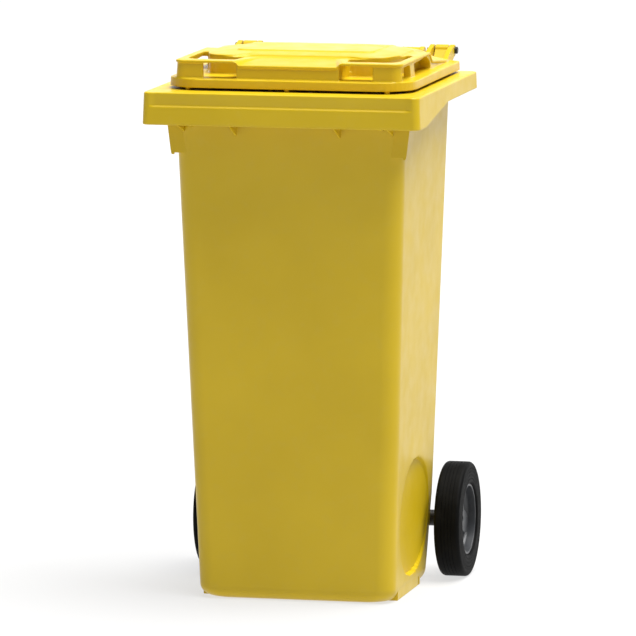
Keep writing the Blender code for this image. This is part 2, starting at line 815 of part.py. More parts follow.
def make_lock(name, side):
    """The spring-loaded pin that keeps a wheel on the axle, with the plug behind its spring."""
    pin_tip, pin_top = 0.0086, 0.0240
    plug_bottom, plug_top = 0.0400, 0.0500
    place = (side * LOCK_X, back(AXLE_BACK), AXLE_Z)
    pin = turned(
        "lock_pin_" + name,
        (
            (0.0, pin_top),
            (0.0030, pin_top),
            (0.0030, pin_tip + 0.0008),
            (0.0022, pin_tip),
            (0.0, pin_tip),
        ),
        16,
        STEEL,
        closed=False,
    )
    pin.location = place
    plug = turned(
        "lock_plug_" + name,
        ((0.0, plug_top), (0.0030, plug_top), (0.0030, plug_bottom), (0.0, plug_bottom)),
        16,
        BLACK,
        closed=False,
    )
    plug.location = place

    wire, coil_radius, turns, points_per_turn = 0.0004, 0.0022, 6, 10
    low, high = pin_top + GAP + wire, plug_bottom - GAP - wire
    count = turns * points_per_turn
    curve = bpy.data.curves.new("lock_spring_" + name, "CURVE")
    curve.dimensions = "3D"
    curve.bevel_depth = wire
    curve.bevel_resolution = 2
    curve.use_fill_caps = True
    spline = curve.splines.new("POLY")
    spline.points.add(count)
    for index in range(count + 1):
        angle = 2 * math.pi * index / points_per_turn
        height = low + (high - low) * index / count
        x, y = coil_radius * math.cos(angle), coil_radius * math.sin(angle)
        spline.points[index].co = (x, y, height, 1)
    spring = bpy.data.objects.new("lock_spring_" + name, curve)
    curve.materials.append(STEEL)
    spring.location = place
    PARTS.objects.link(spring)


def make_spacer(name, side):
    low, high = AXLE_SEAT + GAP, WHEEL_INNER + 0.0005 - GAP
    profile = (
        (SPACER_RADIUS, high),
        (SPACER_RADIUS, low),
        (AXLE_BORE, low),
        (AXLE_BORE, high),
    )
    on_axle(turned("axle_spacer_" + name, profile, 32, BLACK), side)


def shade_parts():
    for obj in PARTS.objects:
        if obj.type == "MESH" and not any(modifier.type == "SCREW" for modifier in obj.modifiers):
            obj.data.shade_smooth()
            obj.data.set_sharp_from_angle(angle=math.radians(30))


make_body()
make_lid()
make_buffers()
make_hinge_pins()
make_axle()
for wheel_name, wheel_side in SIDES.items():
    make_tyre(wheel_name, wheel_side)
    make_hub(wheel_name, wheel_side)
    make_lock(wheel_name, wheel_side)
    make_spacer(wheel_name, wheel_side)
shade_parts()
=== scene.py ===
"""The looks of a two-wheeled waste bin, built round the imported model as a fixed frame.

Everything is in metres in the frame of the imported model: +Z up, the origin on the
ground under the bin, the rim's front edge towards -Y. Depths are distances behind
that edge, and back() turns one into a Y coordinate.
"""

import math

import bmesh
import bpy
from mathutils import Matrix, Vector


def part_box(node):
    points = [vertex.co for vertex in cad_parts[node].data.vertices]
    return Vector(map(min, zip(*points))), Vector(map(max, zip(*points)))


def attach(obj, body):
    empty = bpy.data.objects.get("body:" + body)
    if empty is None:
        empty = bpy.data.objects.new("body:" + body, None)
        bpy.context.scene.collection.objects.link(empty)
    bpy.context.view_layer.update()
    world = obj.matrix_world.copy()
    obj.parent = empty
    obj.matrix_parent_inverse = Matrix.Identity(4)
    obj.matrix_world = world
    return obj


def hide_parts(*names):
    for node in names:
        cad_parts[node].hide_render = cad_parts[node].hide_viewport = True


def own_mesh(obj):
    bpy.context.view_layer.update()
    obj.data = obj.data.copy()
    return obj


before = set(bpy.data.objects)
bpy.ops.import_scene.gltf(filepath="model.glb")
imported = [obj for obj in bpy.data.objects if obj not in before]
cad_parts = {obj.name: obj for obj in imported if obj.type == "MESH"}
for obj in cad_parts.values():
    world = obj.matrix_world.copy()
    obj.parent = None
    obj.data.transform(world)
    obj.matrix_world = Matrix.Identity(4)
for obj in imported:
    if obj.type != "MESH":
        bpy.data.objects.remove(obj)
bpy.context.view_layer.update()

# ---------------------------------------------------------------- sizes from the frame

BODY_LOW, BODY_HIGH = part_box("body")
TYRE_LOW, TYRE_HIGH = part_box("tyre_right")
PIN_LOW, PIN_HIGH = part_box("hinge_pin_right")
HUB_LOW, HUB_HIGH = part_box("wheel_hub_right")

RIM_HALF_WIDTH = BODY_HIGH.x
FRONT_Y = BODY_LOW.y
WHEEL_RADIUS = (TYRE_HIGH.z - TYRE_LOW.z) / 2
WHEEL_CENTRE = (TYRE_LOW + TYRE_HIGH) / 2
AXLE_BACK = WHEEL_CENTRE.y - FRONT_Y
AXLE_Z = WHEEL_CENTRE.z
WHEEL_INNER, WHEEL_OUTER = TYRE_LOW.x, TYRE_HIGH.x
HUB_RADIUS = (HUB_HIGH.z - HUB_LOW.z) / 2
HINGE_BACK = (PIN_LOW.y + PIN_HIGH.y) / 2 - FRONT_Y
HINGE_Z = (PIN_LOW.z + PIN_HIGH.z) / 2
RIM_TOP = HINGE_Z - 0.033
FLANGE_TOP = RIM_TOP + 0.019
PLATE_TOP = RIM_TOP + 0.0505
LID_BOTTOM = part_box("lid")[0].z

WALL = 0.004
BODY_CORNER = 0.030
FOOT_HEIGHT = 0.022
FOOT_SPANS = ((0.155, 0.319), (0.325, 0.335))
RIM_DEPTH = 0.490
RIM_CORNER_FRONT = 0.0125
RIM_CORNER_REAR = 0.009
RIM_DRAFT = 0.002
SKIRT_BOTTOM = RIM_TOP - 0.055
SKIRT_BOTTOM_REAR = RIM_TOP - 0.029
SKIRT_SLOPE = (0.063, 0.246)
MOUTH_FRONT = 0.070
MOUTH_REAR = 0.451
STEP_HALF_WIDTH = 0.226
STEP_DEPTH = 0.003
STEP_DROP = 0.0235
HINGE_POST = (0.160, 0.183)
OUTER_LUG = (0.185, 0.1935)
INNER_LUG = (0.150, 0.158)
HANDLE_POSTS = ((0.032, 0.040), (0.132, 0.140))
HANDLE_RADIUS = 0.013
HANDLE_DROP = 0.0085
LUG_RADIUS = 0.0098
PIN_BORE = 0.0048
AXLE_BORE = 0.0103
LID_WALL = 0.003
LOCK_OUT = 0.200
SIDES = {"right": 1, "left": -1}

# A span past both sides of the bin, for cutters
PAST_SIDES = (-0.3, 0.3)


def back(distance):
    return distance + FRONT_Y


def smooth(value):
    value = min(max(value, 0.0), 1.0)
    return value * value * (3 - 2 * value)


def mix(first, second, part):
    return first + (second - first) * part


# The body's sides, front and rear lean: each is its place on the ground plus a slope by height.


def body_half_width(z):
    return 0.171 + 0.0335 * z


def body_front(z):
    return 0.110 - 0.0625 * z


def body_rear(z):
    return 0.430 + 0.033 * z


def both(side, low, high):
    """A span of distances out from the middle, as the X range on one side."""
    return sorted((side * low, side * high))


# ---------------------------------------------------------------- materials


class Nodes:
    """Builds a node material, one short call for each node."""

    def __init__(self, name):
        self.material = bpy.data.materials.new(name)
        self.material.use_nodes = True
        self.tree = self.material.node_tree
        self.shader = self.tree.nodes["Principled BSDF"]
        self.place = self.add("ShaderNodeTexCoord").outputs["Object"]

    def add(self, kind, **settings):
        node = self.tree.nodes.new(kind)
        for key, value in settings.items():
            setattr(node, key, value)
        return node

    def put(self, source, target):
        self.tree.links.new(source, target)

    def noise(self, scale, detail=3.0, stretch=None):
        node = self.add("ShaderNodeTexNoise")
        node.inputs["Scale"].default_value = scale
        node.inputs["Detail"].default_value = detail
        if stretch:
            mapping = self.add("ShaderNodeMapping")
            mapping.inputs["Scale"].default_value = stretch
            self.put(self.place, mapping.inputs["Vector"])
            self.put(mapping.outputs["Vector"], node.inputs["Vector"])
        else:
            self.put(self.place, node.inputs["Vector"])
        return node.outputs["Fac"]

    def ranged(self, source, low, high, start=0.0, end=1.0):
        node = self.add("ShaderNodeMapRange")
        values = (start, end, low, high)
        for key, value in zip(("From Min", "From Max", "To Min", "To Max"), values):
            node.inputs[key].default_value = value
        self.put(source, node.inputs["Value"])
        return node.outputs["Result"]

    def blend(self, part, first, second):
        """Mixes two colours, each a triple or an output."""
        node = self.add("ShaderNodeMix", data_type="RGBA")
        self.put(part, node.inputs["Factor"])
        for key, value in (("A", first), ("B", second)):
            socket = next(s for s in node.inputs if s.name == key and s.type == "RGBA")
            if isinstance(value, tuple):
                socket.default_value = (*value, 1.0)
            else:
                self.put(value, socket)
        return next(s for s in node.outputs if s.type == "RGBA")

    def bump(self, *layers):
        """Stacks bumps of (height, strength, distance)."""
        normal = None
        for height, strength, distance in layers:
            node = self.add("ShaderNodeBump")
            node.inputs["Strength"].default_value = strength
            node.inputs["Distance"].default_value = distance
            self.put(height, node.inputs["Height"])
            if normal:
                self.put(normal, node.inputs["Normal"])
            normal = node.outputs["Normal"]
        self.put(normal, self.shader.inputs["Normal"])

    def finish(self, color, roughness):
        self.put(color, self.shader.inputs["Base Color"])
        self.put(roughness, self.shader.inputs["Roughness"])
        return self.material


def yellow_plastic():
    """Satin polyethylene: fine moulded grain, faint clouds of colour and a little dust."""
    nodes = Nodes("yellow_plastic_visual")
    cloud = nodes.noise(5.0, 4.0)
    tone = nodes.blend(nodes.ranged(cloud, 0, 1, 0.35, 0.65), (0.65, 0.448, 0.008), (0.70, 0.487, 0.011))
    dust = nodes.ranged(nodes.noise(60.0, 6.0), 0.0, 0.16, 0.52, 0.78)
    tone = nodes.blend(dust, tone, (0.64, 0.47, 0.06))
    rough = nodes.ranged(nodes.noise(28.0, 5.0), 0.30, 0.42, 0.3, 0.7)
    grain = nodes.noise(1300.0, 2.0)
    flow = nodes.noise(14.0, 2.0)
    nodes.bump((flow, 0.06, 0.004), (grain, 0.10, 0.0003))
    nodes.shader.inputs["Specular IOR Level"].default_value = 0.32
    return nodes.finish(tone, rough)


def tyre_rubber():
    """Dull black rubber, a little grey with dust on its tread."""
    nodes = Nodes("tyre_rubber_visual")
    dust = nodes.ranged(nodes.noise(45.0, 8.0), 0.0, 0.5, 0.45, 0.8)
    tone = nodes.blend(dust, (0.003, 0.003, 0.003), (0.012, 0.012, 0.011))
    rough = nodes.ranged(nodes.noise(90.0, 4.0), 0.50, 0.72)
    nodes.bump((nodes.noise(700.0, 3.0), 0.25, 0.0004))
    nodes.shader.inputs["Specular IOR Level"].default_value = 0.07
    return nodes.finish(tone, rough)


def hub_plastic():
    nodes = Nodes("hub_plastic_visual")
    tone = nodes.blend(nodes.noise(40.0, 5.0), (0.034, 0.036, 0.039), (0.056, 0.059, 0.064))
    dust = nodes.ranged(nodes.noise(9.0, 6.0), 0.0, 0.35, 0.50, 0.72)
    tone = nodes.blend(dust, tone, (0.085, 0.085, 0.083))
    rough = nodes.ranged(nodes.noise(80.0, 4.0), 0.30, 0.46)
    nodes.bump((nodes.noise(1100.0, 2.0), 0.12, 0.0003))
    return nodes.finish(tone, rough)


def black_plastic():
    nodes = Nodes("black_plastic_visual")
    tone = nodes.blend(nodes.noise(50.0, 5.0), (0.012, 0.012, 0.013), (0.024, 0.024, 0.025))
    rough = nodes.ranged(nodes.noise(120.0, 4.0), 0.34, 0.52)
    nodes.bump((nodes.noise(1200.0, 2.0), 0.12, 0.0003))
    return nodes.finish(tone, rough)


def zinc_steel():
    """Bright zinc plate with drawn streaks along the bar and a few dull spots."""
    nodes = Nodes("zinc_steel_visual")
    spots = nodes.ranged(nodes.noise(70.0, 8.0), 0.0, 1.0, 0.4, 0.7)
    tone = nodes.blend(spots, (0.50, 0.51, 0.53), (0.66, 0.67, 0.69))
    streak = nodes.noise(300.0, 3.0, (0.04, 1.0, 1.0))
    nodes.shader.inputs["Metallic"].default_value = 1.0
    nodes.bump((streak, 0.15, 0.0004))
    return nodes.finish(tone, nodes.ranged(streak, 0.20, 0.42))


MATERIALS = {
    "yellow_plastic": yellow_plastic(),
    "tyre_rubber": tyre_rubber(),
    "hub_plastic": hub_plastic(),
    "black_plastic": black_plastic(),
    "zinc_steel": zinc_steel(),
}


# ---------------------------------------------------------------- mesh helpers


def helper(name, mesh_builder):
    """Turns a bmesh into an object: a cutter, a raw solid or the start of a piece."""
    bmesh.ops.recalc_face_normals(mesh_builder, faces=mesh_builder.faces)
    mesh = bpy.data.meshes.new(name)
    mesh_builder.to_mesh(mesh)
    mesh_builder.free()
    obj = bpy.data.objects.new(name, mesh)
    bpy.context.scene.collection.objects.link(obj)
    return obj


def dress(piece, body, slot_name, nodes, crease=32):
    """Shades and paints a piece that rides on a body and stands for CAD nodes."""
    piece.data.materials.clear()
    piece.data.materials.append(MATERIALS[slot_name])
    piece.data.shade_smooth()
    if crease:
        piece.data.set_sharp_from_angle(angle=math.radians(crease))
        shading = piece.modifiers.new("even_shading", "WEIGHTED_NORMAL")
        shading.keep_sharp = True
    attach(piece, body)
    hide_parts(*nodes)
    return piece


def make_piece(name, mesh_builder, body, slot_name, nodes, crease=32):
    return dress(helper(name, mesh_builder), body, slot_name, nodes, crease)


def apply_modifiers(obj):
    """Replaces the object's mesh by the result of its modifiers."""
    graph = bpy.context.evaluated_depsgraph_get()
    mesh = bpy.data.meshes.new_from_object(obj.evaluated_get(graph))
    obj.modifiers.clear()
    obj.data = mesh


def combine(target, operation, operands, overlapping=False):
    """Cuts or joins the operands, then removes them. Overlapping: the target crosses itself."""
    for operand in operands:
        modifier = target.modifiers.new(operand.name, "BOOLEAN")
        modifier.operation = operation
        modifier.object = operand
        modifier.solver = "EXACT"
        modifier.use_self = overlapping
    apply_modifiers(target)
    for operand in operands:
        bpy.data.objects.remove(operand, do_unlink=True)


def add_rings(mesh_builder, sections, fanned=False):
    """Joins rings of points, each with the same number of points, into one closed skin."""
    rings = [[mesh_builder.verts.new(point) for point in section] for section in sections]
    count = len(rings[0])
    for low, high in zip(rings, rings[1:]):
        for index in range(count):
            following = (index + 1) % count
            mesh_builder.faces.new((low[index], low[following], high[following], high[index]))
    for ring in (rings[0], rings[-1]):
        if fanned:
            hub = mesh_builder.verts.new(sum((vert.co for vert in ring), Vector()) / count)
            for index, vert in enumerate(ring):
                mesh_builder.faces.new((hub, vert, ring[(index + 1) % count]))
        else:
            mesh_builder.faces.new(ring)


def add_prism(mesh_builder, points, axis, low, high, bevel=0.0, segments=3):
    """A polygon extruded along X (points are y, z), Y (x, z) or Z (x, y), edges rounded."""
    place = {
        "X": lambda a, b, along: (along, a, b),
        "Y": lambda a, b, along: (a, along, b),
        "Z": lambda a, b, along: (a, b, along),
    }[axis]
    fresh = bmesh.new()
    add_rings(fresh, [[place(a, b, along) for a, b in points] for along in (low, high)])
    bmesh.ops.recalc_face_normals(fresh, faces=fresh.faces)
    if bevel:
        edges = [edge for edge in fresh.edges if edge.calc_face_angle(0) > math.radians(20)]
        settings = {"offset": bevel, "segments": segments, "profile": 0.5, "affect": "EDGES"}
        bmesh.ops.bevel(fresh, geom=edges, clamp_overlap=True, **settings)
    mesh = bpy.data.meshes.new("prism")
    fresh.to_mesh(mesh)
    fresh.free()
    mesh_builder.from_mesh(mesh)
    bpy.data.meshes.remove(mesh)


def circle(radius, centre=(0, 0), steps=64, phase=0.0):
    angles = [2 * math.pi * (step + phase) / steps for step in range(steps)]
    return [(centre[0] + radius * math.cos(a), centre[1] + radius * math.sin(a)) for a in angles]


def prism_helper(name, points, axis, low, high):
    mesh_builder = bmesh.new()
    add_prism(mesh_builder, points, axis, low, high)
    return helper(name, mesh_builder)


def add_turned(mesh_builder, profile, steps, side):
    """Turns a closed outline of (radius, distance out) round the axle on one side."""
    centre_y, centre_z = back(AXLE_BACK), AXLE_Z
    rings = []
    for step in range(steps):
        angle = 2 * math.pi * step / steps
        spin = math.cos(angle), math.sin(angle)
        ring = [(side * out, centre_y + r * spin[0], centre_z + r * spin[1]) for r, out in profile]
        rings.append([mesh_builder.verts.new(point) for point in ring])
    count = len(profile)
    for step in range(steps):
        first, second = rings[step], rings[(step + 1) % steps]
        for index in range(count):
            following = (index + 1) % count
            mesh_builder.faces.new((first[index], first[following], second[following], second[index]))


def fillet(points, radius, steps=4):
    """Rounds the corners of a polygon. Points are (a, b) or (a, b, own radius)."""
    count = len(points)
    rounded = []
    for index, point in enumerate(points):
        own = point[2] if len(point) > 2 else radius
        here = Vector(point[:2])
        if own <= 0:
            rounded.append(tuple(here))
            continue
        before = Vector(points[index - 1][:2]) - here
        after = Vector(points[(index + 1) % count][:2]) - here
        reach = min(own, before.length * 0.49, after.length * 0.49)
        start, end = here + before.normalized() * reach, here + after.normalized() * reach
        for step in range(steps + 1):
            part = step / steps
            bent = start * (1 - part) ** 2 + here * 2 * part * (1 - part) + end * part**2
            rounded.append(tuple(bent))
    return rounded


# ---------------------------------------------------------------- body

FRONT_STEPS, SIDE_STEPS, REAR_STEPS, ARC_STEPS = 100, 150, 40, 14
RECESS_CENTRE = (0.265, 0.130)
RECESS_RADII = (0.1145, 0.0995)
RECESS_POWER = 2.12
RECESS_EDGE, RECESS_EDGE_WIDTH = 1.010, 0.022
RECESS_DEPTH = 0.014
RECESS_RISE = 0.0125
BASE_ROUND, BASE_CORNER = 0.020, 0.040
FLOOR_Z, FLOOR_ROUND, FLOOR_CORNER = 0.005, 0.018, 0.036
RIM_ROUND, MOUTH_ROUND = 0.0026, 0.0018
AXLE_ROOM_REAR = 0.60

# Depth and height of points up the slope over the axle, at the rear of the base
AXLE_SLOPE = (
    (0.368, -0.012),
    (0.378, 0.025),
    (0.388, 0.060),
    (0.396, 0.100),
    (0.404, 0.140),
    (0.418, 0.178),
    (0.4385, 0.212),
)


def body_ring(half_width, front, rear, front_radius, rear_radius):
    """The columns of the body's grid: (x, depth) round a rounded rectangle."""
    front_x, rear_x = half_width - front_radius, half_width - rear_radius
    front_y, rear_y = front + front_radius, rear - rear_radius
    ring = [(mix(-front_x, front_x, step / FRONT_STEPS), front) for step in range(1, FRONT_STEPS)]

    def add_arc(x, y, radius, start):
        for step in range(ARC_STEPS + 1):
            angle = math.radians(start + 90 * step / ARC_STEPS)
            ring.append((x + radius * math.cos(angle), y + radius * math.sin(angle)))

    add_arc(front_x, front_y, front_radius, -90)
    ring += [(half_width, mix(front_y, rear_y, step / SIDE_STEPS)) for step in range(1, SIDE_STEPS)]
    add_arc(rear_x, rear_y, rear_radius, 0)
    ring += [(mix(rear_x, -rear_x, step / REAR_STEPS), rear) for step in range(1, REAR_STEPS)]
    add_arc(-rear_x, rear_y, rear_radius, 90)
    ring += [(-half_width, mix(rear_y, front_y, step / SIDE_STEPS)) for step in range(1, SIDE_STEPS)]
    add_arc(-front_x, front_y, front_radius, 180)
    return ring


def recess(x, depth, z, grow):
    """Pulls a point of the side wall into the oval recess beside a wheel."""
    across = (depth - RECESS_CENTRE[0]) / (RECESS_RADII[0] + grow)
    up = (z - RECESS_CENTRE[1]) / (RECESS_RADII[1] + grow)
    reach = (abs(across) ** RECESS_POWER + abs(up) ** RECESS_POWER) ** (1 / RECESS_POWER)
    inside = smooth((RECESS_EDGE - reach) / RECESS_EDGE_WIDTH)
    part = (depth - RECESS_CENTRE[0] + RECESS_RADII[0]) / (2 * RECESS_RADII[0])
    floor = body_half_width(z) - RECESS_DEPTH + RECESS_RISE * min(max(part, 0), 1) - grow
    if abs(x) <= floor or inside == 0:
        return x
    return math.copysign(mix(abs(x), floor, inside), x)


def cut_away(z):
    """How far back the inside of the bin reaches, where it slopes over the axle."""
    for (near, low), (far, high) in zip(AXLE_SLOPE, AXLE_SLOPE[1:]):
        if z <= high + WALL:
            return mix(near, far, (z - WALL - low) / (high - low)) - WALL - 0.001
    return 1.0


def skirt_z(depth):
    start, end = SKIRT_SLOPE
    part = min(max((depth - start) / (end - start), 0.0), 1.0)
    return mix(SKIRT_BOTTOM, SKIRT_BOTTOM_REAR, part)


def wall_ring(z):
    """The outside of the tapered body at one height."""
    return body_ring(body_half_width(z), body_front(z), body_rear(z), BODY_CORNER, BODY_CORNER)


def ring_between(first, second, part, z):
    """A level ring part of the way from one ring to another."""
    return [(mix(a[0], b[0], part), mix(a[1], b[1], part), z) for a, b in zip(first, second)]


def flat_rows(half_width, middle, span, corner, parts, z):
    """Rows of a flat face, each a part of the way out from the face's middle."""
    rows = []
    for part in parts:
        radius = max(corner * part, 0.002)
        ring = body_ring(half_width * part, middle - span * part, middle + span * part, radius, radius)
        rows.append([(x, y, z) for x, y in ring])
    return rows


def outer_wall():
    """Rows of the outside, from the middle of the base up to the underside of the rim."""
    middle = 0.5 * (body_front(0) + body_rear(0))
    span = 0.5 * (body_rear(0) - body_front(0)) - BASE_ROUND
    parts = (0.02, 0.25, 0.5, 0.75, 0.92, 0.985)
    rows = flat_rows(body_half_width(0) - BASE_ROUND, middle, span, BASE_CORNER, parts, 0.0)
    for step in range(10):
        angle = math.radians(90 * step / 9)
        shrink, z = BASE_ROUND * (1 - math.sin(angle)), FOOT_HEIGHT * (1 - math.cos(angle))
        corner = BODY_CORNER + 0.5 * shrink
        edges = body_half_width(z) - shrink, body_front(z) + shrink, body_rear(z) - shrink
        rows.append([(x, y, z) for x, y in body_ring(*edges, corner, corner)])
    # Rows lie close together beside the wheel, where the wall bends into the recess.
    levels = [FOOT_HEIGHT + 0.0035 * step for step in range(1, 64)]
    levels += [0.25 + 0.02 * step for step in range(1, 31)]
    for z in levels + [RIM_TOP - WALL - 0.004]:
        rows.append([(recess(x, y, z, 0.0), y, z) for x, y in wall_ring(z)])
    return rows


def rim_ring(inset):
    radii = max(RIM_CORNER_FRONT - inset, 0.002), max(RIM_CORNER_REAR - inset, 0.002)
    return body_ring(RIM_HALF_WIDTH - inset, inset, RIM_DEPTH - inset, *radii)


def draft(z):
    return RIM_DRAFT * (z - SKIRT_BOTTOM) / (RIM_TOP - SKIRT_BOTTOM)


def rim_band(height, set_back, inset=0.0):
    """A row round the rim, moved in by its draft, the front's middle set back by the step."""
    row = []
    for x, y in rim_ring(0.0):
        z = height(y)
        lean = inset + draft(z)
        ring_x = x * (RIM_HALF_WIDTH - lean) / RIM_HALF_WIDTH
        ring_y = mix(lean, RIM_DEPTH - lean, y / RIM_DEPTH)
        side = smooth((STEP_HALF_WIDTH - abs(x)) / 0.006)
        front = smooth((0.012 - y) / 0.010)
        row.append((ring_x, ring_y + set_back * side * front, z))
    return row


def rim_rows():
    """Rows of the rim: its underside, the skirt inside and out, and the flat top."""
    under, step_z = RIM_TOP - WALL, RIM_TOP - STEP_DROP
    wall, skirt = wall_ring(under), rim_ring(WALL + 0.003)
    rows = [ring_between(wall, skirt, part, under) for part in (0.03, 0.1, 0.4, 0.7, 1.0)]

    # Down the inside of the skirt, round its lower lip and up the outside to the step
    for inset, drop in ((WALL - 0.0002, 0.0008), (WALL - 0.001, 0.003), (WALL - 0.001, 0.016)):
        rows.append(rim_band(lambda y, drop=drop: under - drop, STEP_DEPTH, inset))
    rows.append(rim_band(lambda y: max(step_z - 0.004, skirt_z(y) + 0.004), 0.0, WALL - 0.0005))
    lip = ((WALL, 0.003), (WALL - 0.0003, 0.0012), (WALL - 0.0012, 0.0002))
    for inset, lift in lip + ((0.0012, 0.0), (0.0004, 0.0006), (0.0, 0.0016)):
        rows.append(rim_band(lambda y, lift=lift: skirt_z(y) + lift, 0.0, inset))
    for part in (0.1, 0.5, 0.9):
        rows.append(rim_band(lambda y, part=part: mix(skirt_z(y) + 0.002, step_z - 0.0035, part), 0.0))

    # Over the step, up the leaning upper band and round the top edge
    steps = (
        (-0.0020, 0.0),
        (-0.0011, 0.0002),
        (-0.0004, 0.0009),
        (0.0010, 0.0023),
        (0.0018, 0.0028),
        (0.0028, STEP_DEPTH),
        (0.008, STEP_DEPTH - 0.0005),
        (0.014, STEP_DEPTH - 0.0010),
    )
    for lift, set_back in steps:
        rows.append(rim_band(lambda y, lift=lift: step_z + lift, set_back))
    for step in range(6):
        angle = math.radians(90 * step / 5)
        z = RIM_TOP - RIM_ROUND * (1 - math.sin(angle))
        inset = RIM_ROUND * (1 - math.cos(angle))
        rows.append(rim_band(lambda y, z=z: z, STEP_DEPTH - 0.0013, inset))

    # In over the flat top and round the edge of the mouth
    edge, mouth = rows[-1], mouth_ring(0.0)
    rows += [ring_between(edge, mouth, part, RIM_TOP) for part in (0.04, 0.2, 0.5, 0.8, 0.95)]
    for step in range(4):
        angle = math.radians(90 * step / 3)
        grow = MOUTH_ROUND * (1 - math.sin(angle))
        z = RIM_TOP - MOUTH_ROUND * (1 - math.cos(angle))
        rows.append([(x, y, z) for x, y in mouth_ring(grow)])
    return rows


def mouth_ring(grow):
    half_width = body_half_width(RIM_TOP) - WALL + grow
    return body_ring(half_width, MOUTH_FRONT - grow, MOUTH_REAR + grow, BODY_CORNER, BODY_CORNER)


def inner_wall():
    """Rows of the inside, from the mouth down to the middle of the floor."""
    rows = [[(x, y, RIM_TOP - 0.011) for x, y in mouth_ring(0.0)]]
    levels = [RIM_TOP - 0.023] + [0.85 - 0.025 * step for step in range(25)]
    levels += [0.218, 0.2158] + [0.2125 - 0.0045 * step for step in range(43)]
    corner = BODY_CORNER - WALL
    for z in levels:
        edges = body_half_width(z) - WALL, body_front(z) + WALL, body_rear(z) - WALL
        limit = cut_away(z)
        ring = [(recess(x, y, z, WALL), y) for x, y in body_ring(*edges, corner, corner)]
        rows.append([(x, min(y, limit), z) for x, y in ring])
    for step in range(1, 7):
        angle = math.radians(90 * step / 6)
        shrink, z = FLOOR_ROUND * (1 - math.cos(angle)), FLOOR_Z + FLOOR_ROUND * (1 - math.sin(angle))
        edges = body_half_width(z) - WALL - shrink, body_front(z) + WALL + shrink, cut_away(z) - shrink
        rows.append([(x, y, z) for x, y in body_ring(*edges, FLOOR_CORNER, FLOOR_CORNER)])
    half_width = body_half_width(0) - WALL - FLOOR_ROUND
    front, rear = body_front(0) + WALL + FLOOR_ROUND, cut_away(0) - FLOOR_ROUND
    middle, span = (front + rear) / 2, (rear - front) / 2
    return rows + flat_rows(half_width, middle, span, FLOOR_CORNER, (0.97, 0.8, 0.5, 0.2, 0.02), FLOOR_Z)


def make_body_shell():
    """The tub and its rim in one skin, cut by the room for the axle and the axle's bore."""
    rows = outer_wall() + rim_rows() + inner_wall()
    mesh_builder = bmesh.new()
    add_rings(mesh_builder, [[(x, back(y), z) for x, y, z in row] for row in rows])
    shell = helper("bin_body", mesh_builder)
    (low_depth, low_z), *slope, (high_depth, high_z) = AXLE_SLOPE
    room = (
        (low_depth, low_z, 0),
        *((depth, z, 0.012) for depth, z in slope),
        (high_depth, high_z, 0.006),
        (AXLE_ROOM_REAR, high_z, 0),
        (AXLE_ROOM_REAR, low_z, 0),
    )
    outline = [(back(y), z) for y, z in fillet(room, 0.010)]
    bore = circle(AXLE_BORE, (back(AXLE_BACK), AXLE_Z), 48)
    cutters = [
        prism_helper("axle_room", outline, "X", *PAST_SIDES),
        prism_helper("axle_cut", bore, "X", *PAST_SIDES),
    ]
    combine(shell, "DIFFERENCE", cutters)
    dress(shell, "bin", "yellow_plastic", ["body"], crease=38)


def hinge_neck(ring_radius, centre):
    """The outline of a bracket that runs down from a ring to the rear of the rim."""
    neck = (
        (-0.85 * ring_radius, 0.3 * ring_radius, 0),
        (-0.030, -0.020, 0.004),
        (-0.030, -0.050, 0),
        (-0.024, -0.046, 0.003),
        (0.45 * ring_radius, -0.83 * ring_radius, 0),
    )
    return [(centre[0] + y, centre[1] + z) for y, z in fillet(neck, 0.004)]


def make_comb_wings():
    """The wings under the rim's front corners and the thin gussets beside them."""
    wings = bmesh.new()
    wing = (
        (0.152, -0.108),
        (0.1985, -0.108, 0.001),
        (0.1985, -0.111, 0.001),
        (0.203, -0.111, 0.002),
        (0.2045, -0.104, 0.001),
        (0.210, -0.060, 0.004),
        (0.214, -0.0025, 0),
        (0.152, -0.0025, 0),
    )
    for side in SIDES.values():
        points = [(side * x, RIM_TOP + z) for x, z in fillet(wing, 0.002)]
        add_prism(wings, points, "Y", back(0.0637), back(0.0678), 0.0009)
        for x, tip in ((0.090, 0.0745), (0.166, 0.062), (0.181, 0.068)):
            upper = (0.0035, -0.0530), (0.0085, -0.022), (0.0085, -0.002), (0.068, -0.002)
            gusset = (*upper, (0.068, -tip - 0.006), (0.056, -tip))
            points = [(back(y), RIM_TOP + z) for y, z in gusset]
            add_prism(wings, points, "X", side * x - 0.001, side * x + 0.001, 0.0004, 2)
    make_piece("bin_comb_wings", wings, "bin", "yellow_plastic", ["body"])


def make_feet():
    feet = bmesh.new()
    inner, top = 0.153, FOOT_HEIGHT + 0.001
    outer = body_half_width(0) - 0.0004
    outer_top = body_half_width(FOOT_HEIGHT) - 0.0004
    foot = ((inner, 0.0), (outer, 0.0, 0.0015), (outer_top, top), (inner, top))
    for side in SIDES.values():
        for start, end in FOOT_SPANS:
            points = [(side * x, z) for x, z in fillet(foot, 0.0)]
            add_prism(feet, points, "Y", back(start), back(end), 0.0008)
    make_piece("bin_feet", feet, "bin", "yellow_plastic", ["body"])


